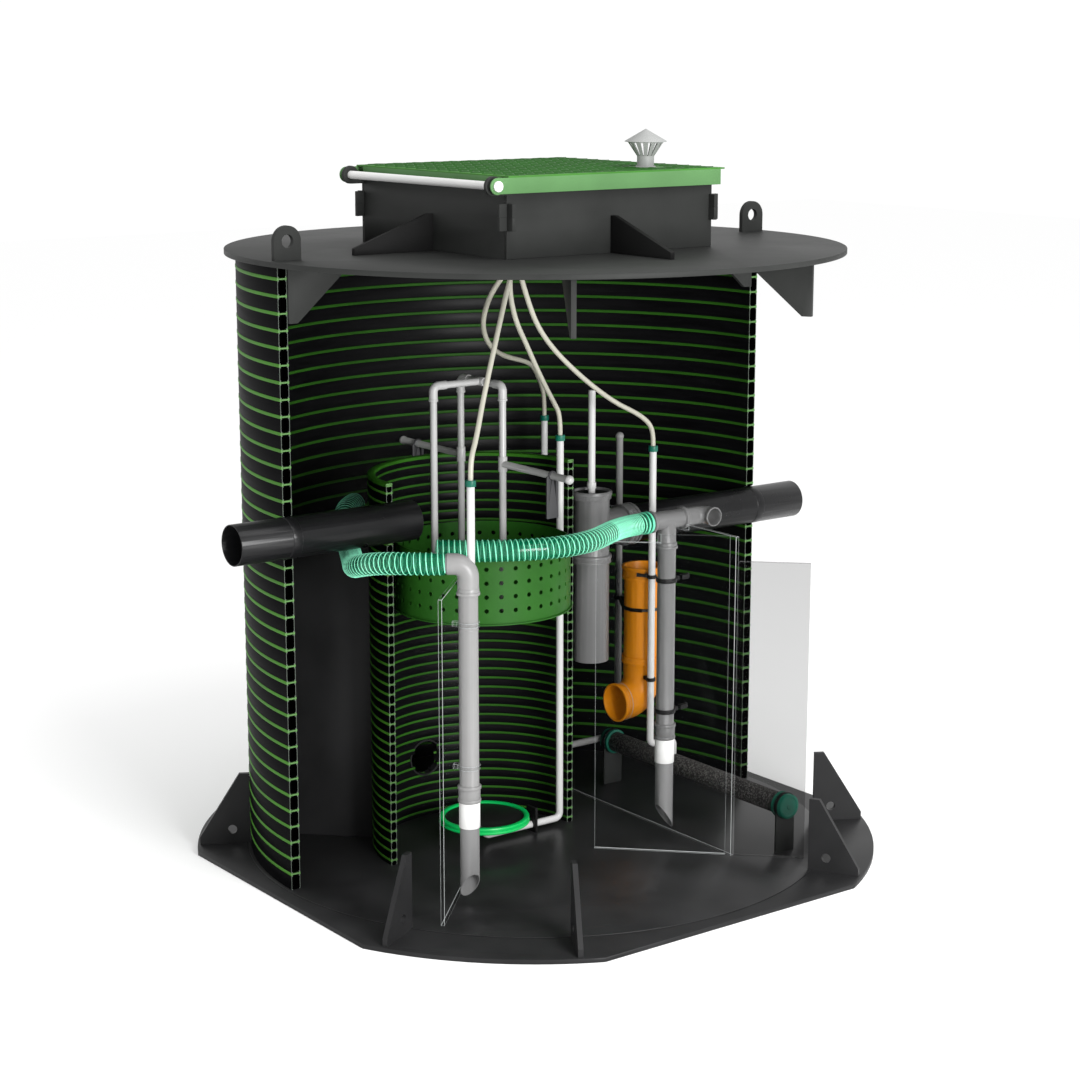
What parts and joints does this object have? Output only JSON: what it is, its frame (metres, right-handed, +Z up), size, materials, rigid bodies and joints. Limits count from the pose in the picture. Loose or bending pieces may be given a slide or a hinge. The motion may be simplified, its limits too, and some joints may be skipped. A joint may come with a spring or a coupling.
{
  "type": "packaged sewage treatment plant, cutaway",
  "caption": "Round buried sewage treatment tank cut open along its axis, with inner tank, partitions, drain pipes, air-lift pumps, diffusers, screen basket and a hinged green lid.",
  "frame": {"origin": "on the tank's upright axis at the underside of the base plate", "axes": "+Z up, +X along the outlet pipe from the inlet pipe, +Y towards the kept rear half of the wall"},
  "size_m": [2.852, 2.546, 2.959],
  "materials": {
    "dark_plate": "matte",
    "cover_plate": "matte",
    "wound_wall": "satin",
    "lid_green": "satin",
    "vent_grey": "satin",
    "steel": "brushed",
    "clear_panel": "clear",
    "frosted_panel": "frosted",
    "black_pipe": "satin",
    "grey_pipe": "satin",
    "orange_pipe": "satin",
    "white_pipe": "satin",
    "seal_rubber": "matte",
    "teal_fitting": "satin",
    "green_ring": "satin",
    "basket_green": "satin",
    "hook_grey": "matte",
    "clear_fitting": "clear",
    "cream_tube": "satin",
    "hose_green": "clear"
  },
  "bodies": {
    "tank": {"air_couplings": "teal_fitting", "air_manifold": "black_pipe", "air_pipes": "grey_pipe", "air_tube_disc": "cream_tube", "air_tube_front_lift": "cream_tube", "air_tube_stub": "cream_tube", "air_tube_tube": "cream_tube", "airlift_back": "grey_pipe", "airlift_couplings": "white_pipe", "airlift_front": "grey_pipe", "airlift_tips": "grey_pipe", "base_gussets": "dark_plate", "base_plate": "dark_plate", "basket_frame": "white_pipe", "clear_clamps": "clear_fitting", "cover_gussets": "dark_plate", "cover_plate": "cover_plate", "disc_diffuser_membrane": "seal_rubber", "disc_diffuser_ring": "green_ring", "floor_disc": "dark_plate", "frame_hooks": "hook_grey", "guide_rod": "grey_pipe", "hinge_rod": "steel", "hose_back": "hose_green", "hose_front": "hose_green", "inlet_pipe": "black_pipe", "inner_tank_1": "wound_wall", "inner_tank_2": "wound_wall", "inner_tank_3": "wound_wall", "lifting_eyes": "cover_plate", "neck_cross_plates": "cover_plate", "neck_gussets": "cover_plate", "neck_side_plates": "cover_plate", "outer_wall_1": "wound_wall", "outer_wall_2": "wound_wall", "outer_wall_3": "wound_wall", "outer_wall_4": "wound_wall", "outer_wall_5": "wound_wall", "outlet_pipe": "black_pipe", "outlet_tee": "grey_pipe", "partition_front": "clear_panel", "partition_front_left": "clear_panel", "partition_front_right": "frosted_panel", "partition_left": "dark_plate", "partition_right": "clear_panel", "pipe_clamps": "black_pipe", "screen_basket": "basket_green", "tee_seal": "seal_rubber", "transfer_bend": "orange_pipe", "tube_diffuser": "seal_rubber", "tube_diffuser_caps": "teal_fitting", "tube_diffuser_stands": "black_pipe", "tube_feed_pipe": "white_pipe"},
    "lid": {"lid_panel": "lid_green", "vent_cap": "vent_grey"}
  },
  "joints": [
    {"name": "lid_hinge", "type": "hinge", "parent": "tank", "child": "lid", "pos_m": [-0.5505, 0.02, 2.769], "axis": [0, -1, 0], "range_deg": [0, 100]}
  ]
}
